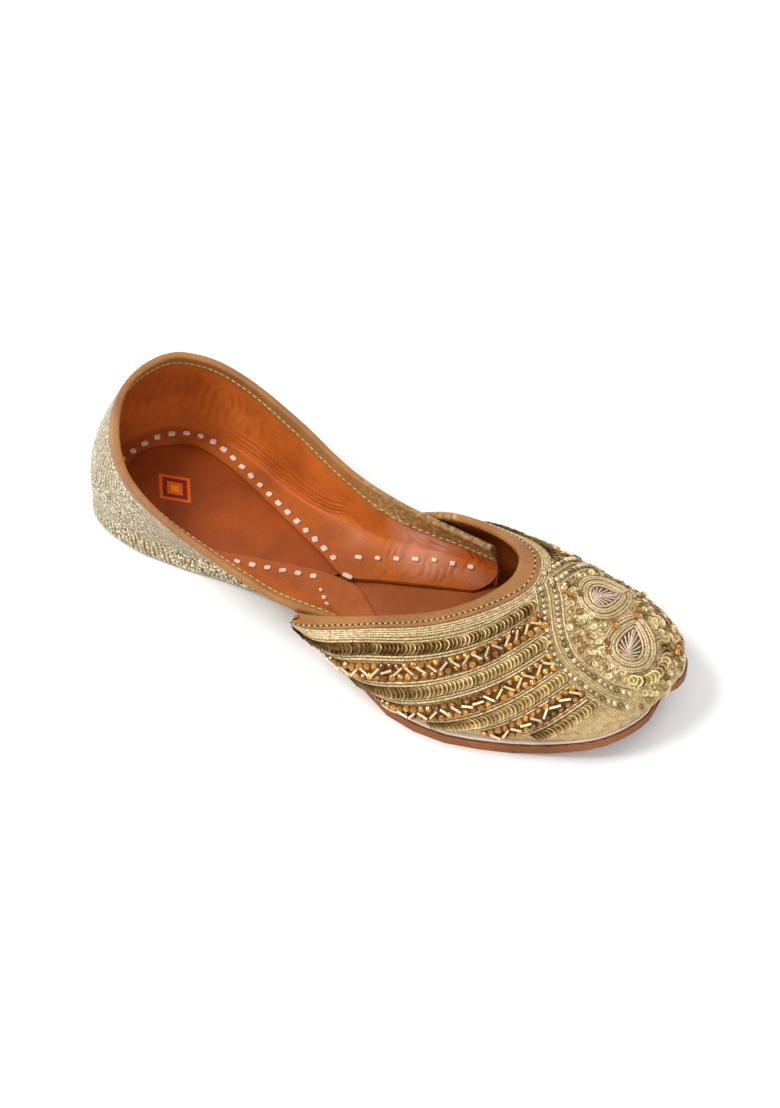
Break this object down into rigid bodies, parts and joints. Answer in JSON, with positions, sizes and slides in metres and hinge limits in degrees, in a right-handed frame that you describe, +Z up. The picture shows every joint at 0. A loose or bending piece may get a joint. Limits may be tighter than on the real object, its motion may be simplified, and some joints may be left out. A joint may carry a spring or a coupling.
{
  "type": "mojari shoe",
  "caption": "Flat slip-on mojari with a round slightly raised toe, an open throat, a soft leather back and a zari embroidered vamp; right shoe.",
  "frame": {"origin": "middle of the shoe's box, on the ground under the sole", "axes": "+X from the heel to the toe, +Y to the shoe's left (inner) side, +Z up"},
  "size_m": [0.2566, 0.0914, 0.0557],
  "materials": {
    "sole_leather": "burnished cut edge",
    "rand_leather": "undyed strip",
    "lining_leather": "smooth orange-tan lining",
    "silver_brocade": "pale metallic zari brocade",
    "binding_leather": "soft folded edge binding",
    "gold_embroidery": "gold cloth with sequins, beads and metal cord"
  },
  "bodies": {
    "root": {"outsole": "sole_leather", "rand": "rand_leather", "insole": "lining_leather", "heel_pad": "lining_leather", "quarter": "silver_brocade", "collar_binding": "binding_leather", "vamp": "gold_embroidery", "throat_binding": "binding_leather"}
  },
  "joints": []
}
